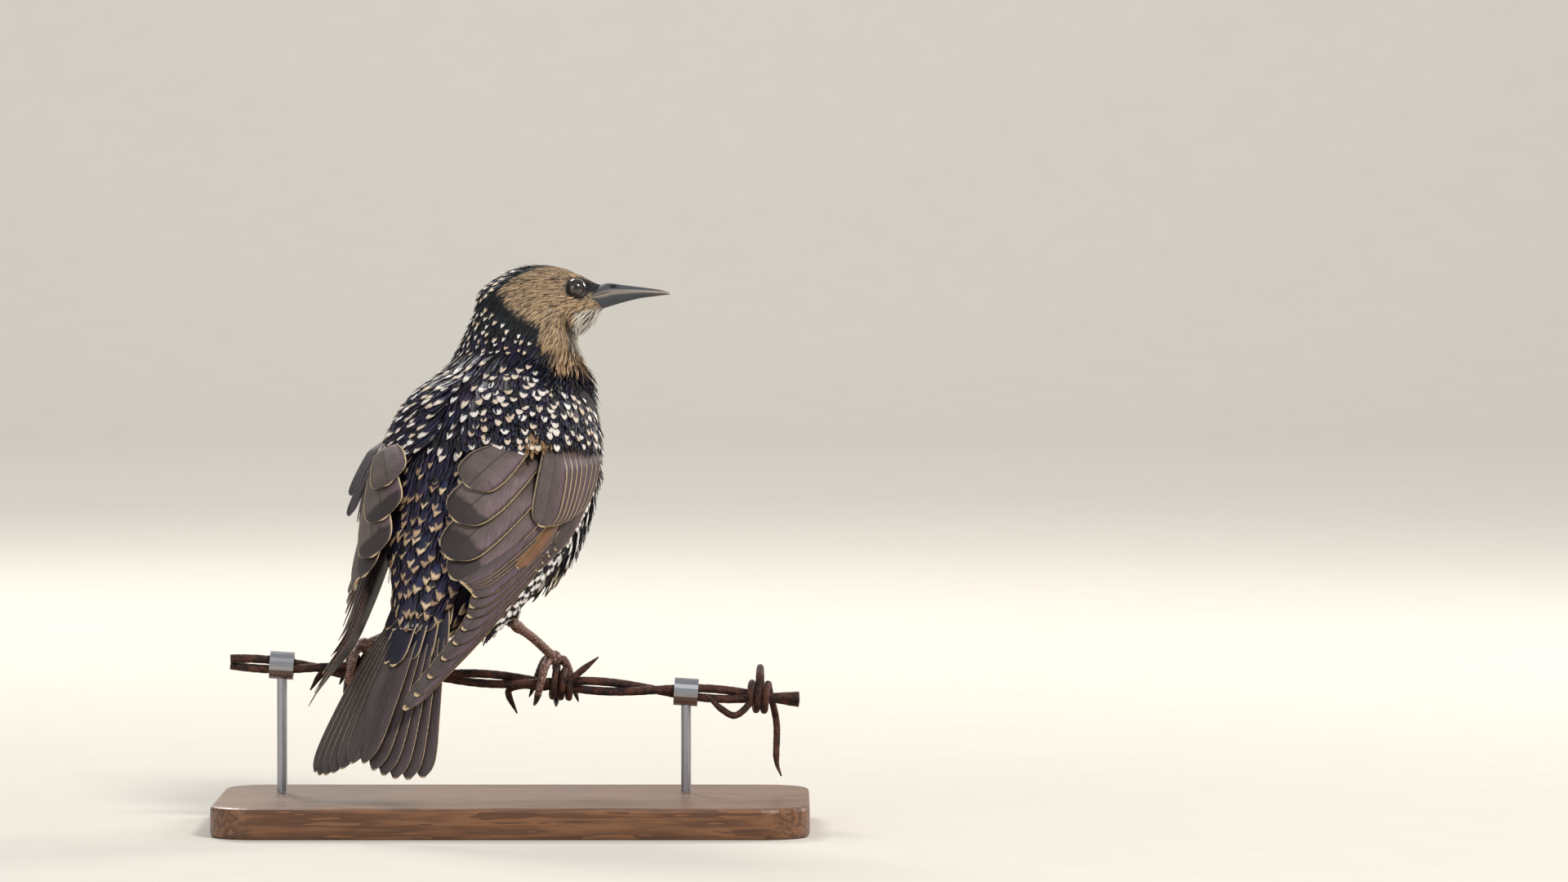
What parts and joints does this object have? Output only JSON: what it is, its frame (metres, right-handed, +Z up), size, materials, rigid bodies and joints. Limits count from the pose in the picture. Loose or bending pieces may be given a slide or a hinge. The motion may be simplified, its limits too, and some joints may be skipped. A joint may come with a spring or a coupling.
{
  "type": "starling on a barbed-wire perch",
  "caption": "Life-size common starling in autumn moult, standing on a short piece of barbed wire that a plain display stand holds up.",
  "frame": {"origin": "centre of the underside of the stand's base", "axes": "+X along the wire, from the bird's tail side to the side its bill points to; +Z up; +Y the way the bird's breast faces"},
  "size_m": [0.172, 0.096, 0.164],
  "materials": {
    "plumage_body": "feathered, satin",
    "plumage_head": "feathered, matte",
    "flight_feathers": "smooth vanes, satin",
    "bill": "horn, satin",
    "eye": "wet gloss",
    "leg": "scaled, satin",
    "claw": "horn, satin",
    "wire": "weathered, rusty",
    "stand_base": "oiled",
    "stand_rod": "brushed"
  },
  "bodies": {
    "root": {"bill_lower": "bill", "bill_upper": "bill", "claw_left_hind": "claw", "claw_left_inner": "claw", "claw_left_middle": "claw", "claw_left_outer": "claw", "claw_right_hind": "claw", "claw_right_inner": "claw", "claw_right_middle": "claw", "claw_right_outer": "claw", "eye_left": "eye", "eye_right": "eye", "foot_left": "leg", "foot_right": "leg", "head": "plumage_head", "neck": "plumage_body", "stand_base": "stand_base", "stand_rod_left": "stand_rod", "stand_rod_right": "stand_rod", "tail": "flight_feathers", "tarsus_left": "leg", "tarsus_right": "leg", "thigh_left": "plumage_body", "thigh_right": "plumage_body", "torso": "plumage_body", "wing_left": "flight_feathers", "wing_right": "flight_feathers", "wire_barb_left": "wire", "wire_barb_middle": "wire", "wire_barb_right": "wire", "wire_strand_1": "wire", "wire_strand_2": "wire"}
  },
  "joints": []
}
